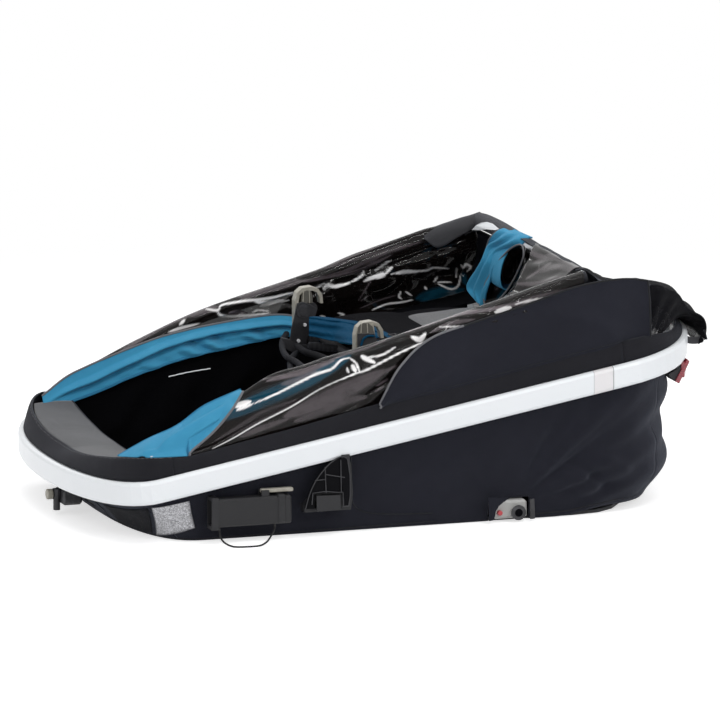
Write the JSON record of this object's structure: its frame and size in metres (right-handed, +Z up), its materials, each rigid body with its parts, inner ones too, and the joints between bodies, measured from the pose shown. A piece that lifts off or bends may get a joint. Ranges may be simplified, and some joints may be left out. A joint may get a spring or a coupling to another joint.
{
  "type": "child bike trailer",
  "caption": "Child bike trailer stored flat: oval frame band, cloth body, folded roof frame and seat back with hook claws, wheel and tow arm sockets.",
  "frame": {"origin": "on the underside of the floor pan, below the middle of the frame band's length and width", "axes": "+Z up, -X towards the nose, -Y the left side, which carries the tow arm receptacle"},
  "size_m": [1.1681, 0.7207, 0.4383],
  "materials": {
    "ring_white": "white moulded frame band, satin",
    "black_cloth": "black coated polyester cloth, dull",
    "grey_cloth": "dark grey woven cloth over padding",
    "blue_cloth": "blue polyester cloth, dull",
    "tinted_vinyl": "smoke tinted clear vinyl film, slack and wrinkled",
    "mesh_cloth": "black open mesh cloth with a grey hem",
    "black_plastic": "black glass-filled nylon, fine texture",
    "grey_plastic": "light grey beige nylon, satin",
    "red_lens": "red prismatic plastic",
    "aluminium": "drawn aluminium tube, lightly brushed",
    "steel": "zinc plated steel"
  },
  "bodies": {
    "chassis": {"ring_front": "ring_white", "ring_rear": "ring_white", "joiner_left": "steel", "joiner_right": "steel", "roof_bracket_left": "steel", "roof_bracket_right": "steel", "tow_lanyard": "steel", "nose_skirt": "black_cloth", "side_skirt_left": "black_cloth", "side_skirt_right": "black_cloth", "rear_skirt": "black_cloth", "nose_rim": "black_cloth", "side_rim_left": "black_cloth", "side_rim_right": "black_cloth", "rear_rim": "black_cloth", "seat_base": "black_cloth", "nose_panel": "grey_cloth", "floor_pan": "black_plastic", "tow_receptacle": "black_plastic", "side_bracket": "black_plastic", "front_mount": "black_plastic", "reflector_bracket_left": "black_plastic", "reflector_bracket_right": "black_plastic", "harness_buckle": "black_plastic", "wheel_socket_left": "grey_plastic", "wheel_socket_right": "grey_plastic", "reflector_left": "red_lens", "reflector_right": "red_lens", "side_tube_left": "aluminium", "side_tube_right": "aluminium", "cross_tube_front": "aluminium", "cross_tube_rear": "aluminium", "axle_tube": "aluminium", "ring_post_left": "aluminium", "ring_post_right": "aluminium", "hinge_tube": "aluminium"},
    "roof_frame": {"roof_beam_left": "aluminium", "roof_beam_right": "aluminium", "rear_crossbar": "aluminium", "blue_strip_left": "blue_cloth", "blue_strip_right": "blue_cloth", "side_window_left": "tinted_vinyl", "side_window_right": "tinted_vinyl", "side_panel_left": "black_cloth", "side_panel_right": "black_cloth", "rear_hood": "black_cloth", "mesh_pocket": "mesh_cloth", "rolled_cover": "blue_cloth"},
    "uprights": {"upright_hoop": "black_plastic", "claw_arm_left": "black_plastic", "claw_arm_right": "black_plastic", "seat_back": "grey_cloth", "harness_straps": "black_cloth"},
    "claw_left": {"claw_left": "grey_plastic"},
    "claw_right": {"claw_right": "grey_plastic"},
    "tow_lever": {"tow_lock_lever": "grey_plastic"},
    "latch_button": {"bracket_button": "black_plastic"},
    "front_knob": {"front_mount_knob": "grey_plastic"},
    "release_left": {"release_button_left": "red_lens"},
    "release_right": {"release_button_right": "red_lens"}
  },
  "joints": [
    {"name": "roof_fold", "type": "hinge", "parent": "chassis", "child": "roof_frame", "pos_m": [-0.47, 0, 0.15], "axis": [0, -1, 0], "range_deg": [0, 15], "deforming": ["side_window_left", "side_window_right", "side_panel_left", "side_panel_right", "rear_hood", "mesh_pocket", "rolled_cover"]},
    {"name": "upright_fold", "type": "hinge", "parent": "chassis", "child": "uprights", "pos_m": [0.42, 0, 0.262], "axis": [0, 1, 0], "range_deg": [0, 46.5]},
    {"name": "claw_left_swing", "type": "hinge", "parent": "uprights", "child": "claw_left", "pos_m": [-0.034, -0.17, 0.3], "axis": [0, 1, 0], "range_deg": [0, 10], "stiffness_Nm_per_rad": 0.2},
    {"name": "claw_right_swing", "type": "hinge", "parent": "uprights", "child": "claw_right", "pos_m": [-0.034, 0.17, 0.3], "axis": [0, 1, 0], "range_deg": [0, 10], "stiffness_Nm_per_rad": 0.2},
    {"name": "tow_lever_lift", "type": "hinge", "parent": "chassis", "child": "tow_lever", "pos_m": [-0.276, -0.3258, 0.0885], "axis": [0, -1, 0], "range_deg": [0, 20]},
    {"name": "latch_press", "type": "slide", "parent": "chassis", "child": "latch_button", "axis": [0, 1, 0], "range_m": [0, 0.0035], "stiffness_N_per_m": 200},
    {"name": "knob_turn", "type": "hinge", "parent": "chassis", "child": "front_knob", "pos_m": [-0.5669, 0, 0.038], "axis": [1, 0, 0], "range_deg": [0, 90]},
    {"name": "release_left_press", "type": "slide", "parent": "chassis", "child": "release_left", "axis": [0, 1, 0], "range_m": [0, 0.004], "stiffness_N_per_m": 200},
    {"name": "release_right_press", "type": "slide", "parent": "chassis", "child": "release_right", "axis": [0, -1, 0], "range_m": [0, 0.004], "stiffness_N_per_m": 200}
  ],
  "couplings": [
    {"joint": "upright_fold", "follows": "roof_fold", "ratio": 3.1}
  ]
}
